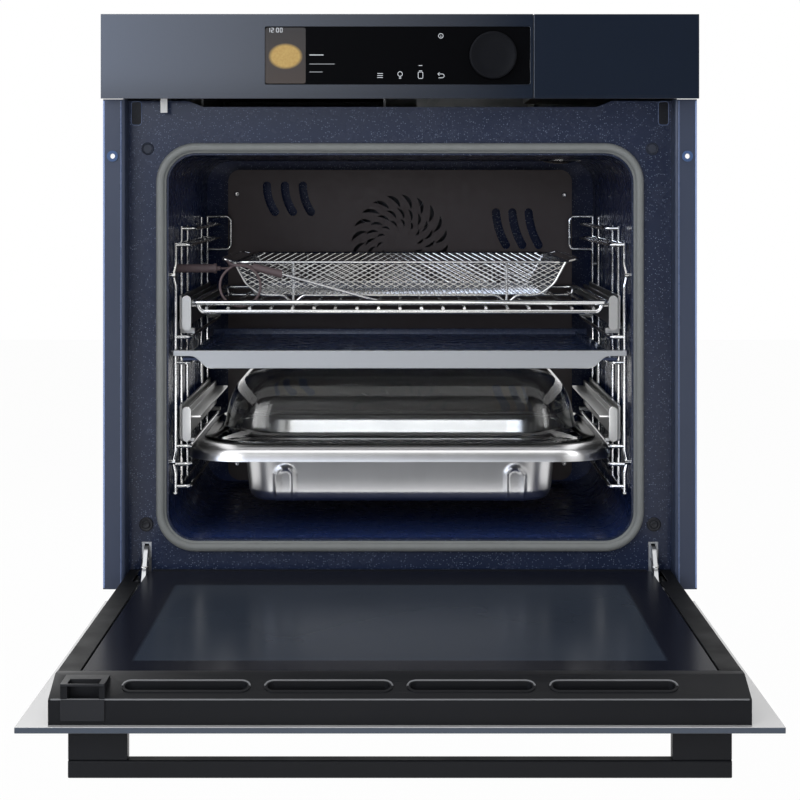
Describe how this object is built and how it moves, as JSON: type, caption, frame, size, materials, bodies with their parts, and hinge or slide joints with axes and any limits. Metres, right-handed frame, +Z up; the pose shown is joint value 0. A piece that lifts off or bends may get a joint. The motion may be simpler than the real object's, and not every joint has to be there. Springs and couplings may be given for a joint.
{
  "type": "wall oven",
  "caption": "Built-in oven with a drop-down glass door, blue control panel with display and dial, rails, wire rack, air basket, divider, steam tray and water drawer.",
  "frame": {"origin": "on the base plane, half-way across, in the plane of the cabinet's front", "axes": "+X to the right seen from the front, +Y into the cabinet, +Z up"},
  "size_m": [0.595, 1.0425, 0.635],
  "materials": {
    "panel_blue": "glossy blue-grey back-painted glass",
    "display_black": "black display glass",
    "dial_grey": "satin dark dial",
    "navy_enamel": "speckled navy enamel",
    "flange_blue": "blue-grey coated sheet",
    "fan_panel_brown": "brown-grey catalytic enamel",
    "zinc_sheet": "galvanised sheet",
    "seal_grey": "grey silicone seal",
    "buffer_black": "dark rubber",
    "heater_steel": "dark heater tube",
    "lamp_glass": "frosted lens",
    "mineral_wool": "mineral wool",
    "chrome_wire": "bright wire",
    "rail_steel": "satin steel rail",
    "hinge_steel": "hinge steel",
    "probe_mauve": "mauve-brown silicone",
    "divider_silver": "brushed aluminium strip",
    "tray_steel": "polished stainless steel",
    "clear_glass": "clear glass",
    "door_glass": "dark tinted glass",
    "door_black": "black moulding",
    "handle_black": "satin black",
    "fan_steel": "fan wheel",
    "tank_clear": "translucent tank",
    "terminal_black": "terminal housing",
    "switch_white": "white lever"
  },
  "bodies": {
    "oven": {"front_frame": "navy_enamel", "side_flanges": "flange_blue", "screw_grommets": "flange_blue", "side_panels": "zinc_sheet", "top_cover": "zinc_sheet", "rear_cover": "zinc_sheet", "base_plate": "zinc_sheet", "cavity_liner": "navy_enamel", "back_panel": "fan_panel_brown", "door_gasket": "seal_grey", "front_buffers": "buffer_black", "ring_heaters": "heater_steel", "fan_motors": "zinc_sheet", "heating_elements": "heater_steel", "oven_lamp": "lamp_glass", "temperature_sensor": "heater_steel", "insulation": "mineral_wool", "side_racks": "chrome_wire", "rail_bases": "rail_steel", "probe_plug": "probe_mauve", "hinge_claws": "hinge_steel", "panel_glass": "panel_blue", "panel_chassis": "zinc_sheet", "display_module": "display_black", "tank_sleeve": "zinc_sheet", "steam_generator": "zinc_sheet", "blower_housing": "zinc_sheet", "terminal_box": "terminal_black"},
    "door": {"door_outer_glass": "door_glass", "door_side_covers": "door_black", "door_inner_glass": "door_glass", "door_middle_glasses": "door_glass", "door_bottom_rail": "door_black", "door_top_cap": "door_black", "handle_bar": "handle_black", "handle_posts": "handle_black", "hinge_legs": "hinge_steel"},
    "lock_left": {"lock_clip_left": "chrome_wire"},
    "lock_right": {"lock_clip_right": "chrome_wire"},
    "upper_link": {"upper_rail_links": "rail_steel"},
    "upper_slide": {"upper_rail_runners": "rail_steel", "wire_rack": "chrome_wire", "basket_frame": "chrome_wire", "basket_mesh": "chrome_wire", "probe_cable": "probe_mauve", "probe": "chrome_wire"},
    "lower_link": {"lower_rail_links": "rail_steel"},
    "lower_slide": {"lower_rail_runners": "rail_steel"},
    "divider": {"divider_trim": "divider_silver", "divider_plate": "navy_enamel"},
    "tray": {"steam_tray": "tray_steel"},
    "lid": {"glass_lid": "clear_glass"},
    "fan_top": {"upper_fan": "fan_steel"},
    "fan_low": {"lower_fan": "fan_steel"},
    "cooling_fan": {"cooling_impeller": "fan_steel"},
    "dial_press": {"dial_stem": "dial_grey"},
    "dial": {"dial_knob": "dial_grey"},
    "tank": {"tank_front": "panel_blue", "tank_body": "tank_clear"},
    "switch": {"door_switch": "switch_white"}
  },
  "joints": [
    {"name": "door_hinge", "type": "hinge", "parent": "oven", "child": "door", "pos_m": [0, -0.003, 0.0185], "axis": [1, 0, 0], "range_deg": [-90, 0]},
    {"name": "lock_left_flip", "type": "hinge", "parent": "oven", "child": "lock_left", "pos_m": [-0.2572, 0.018, 0.047], "axis": [-1, 0, 0], "range_deg": [0, 75]},
    {"name": "lock_right_flip", "type": "hinge", "parent": "oven", "child": "lock_right", "pos_m": [0.2572, 0.018, 0.047], "axis": [-1, 0, 0], "range_deg": [0, 75]},
    {"name": "upper_rail_slide", "type": "slide", "parent": "oven", "child": "upper_slide", "axis": [0, -1, 0], "range_m": [0, 0.28]},
    {"name": "upper_link_slide", "type": "slide", "parent": "oven", "child": "upper_link", "axis": [0, -1, 0], "range_m": [0, 0.14]},
    {"name": "lower_rail_slide", "type": "slide", "parent": "oven", "child": "lower_slide", "axis": [0, -1, 0], "range_m": [0, 0.28]},
    {"name": "lower_link_slide", "type": "slide", "parent": "oven", "child": "lower_link", "axis": [0, -1, 0], "range_m": [0, 0.14]},
    {"name": "divider_slide", "type": "slide", "parent": "oven", "child": "divider", "axis": [0, -1, 0], "range_m": [0, 0.3]},
    {"name": "tray_slide", "type": "slide", "parent": "oven", "child": "tray", "axis": [0, -1, 0], "range_m": [0, 0.25]},
    {"name": "lid_lift", "type": "slide", "parent": "tray", "child": "lid", "axis": [0, 0, 1], "range_m": [0, 0.005]},
    {"name": "upper_fan_spin", "type": "hinge", "parent": "oven", "child": "fan_top", "pos_m": [0, 0.45, 0.357], "axis": [0, 1, 0], "continuous": true},
    {"name": "lower_fan_spin", "type": "hinge", "parent": "oven", "child": "fan_low", "pos_m": [0, 0.45, 0.16], "axis": [0, 1, 0], "continuous": true},
    {"name": "cooling_fan_spin", "type": "hinge", "parent": "oven", "child": "cooling_fan", "pos_m": [-0.11, 0.3, 0.5243], "axis": [1, 0, 0], "continuous": true},
    {"name": "dial_push", "type": "slide", "parent": "oven", "child": "dial_press", "axis": [0, 1, 0], "range_m": [0, 0.0015], "stiffness_N_per_m": 900},
    {"name": "dial_turn", "type": "hinge", "parent": "dial_press", "child": "dial", "pos_m": [0.0922, -0.021, 0.55375], "axis": [0, -1, 0], "continuous": true},
    {"name": "tank_slide", "type": "slide", "parent": "oven", "child": "tank", "axis": [0, -1, 0], "range_m": [0, 0.18]},
    {"name": "door_switch_press", "type": "hinge", "parent": "oven", "child": "switch", "pos_m": [-0.2377, 0.008, 0.521], "axis": [1, 0, 0], "range_deg": [0, 12], "stiffness_Nm_per_rad": 0.02}
  ],
  "couplings": [
    {"joint": "upper_link_slide", "follows": "upper_rail_slide", "ratio": 0.5},
    {"joint": "lower_link_slide", "follows": "lower_rail_slide", "ratio": 0.5}
  ]
}
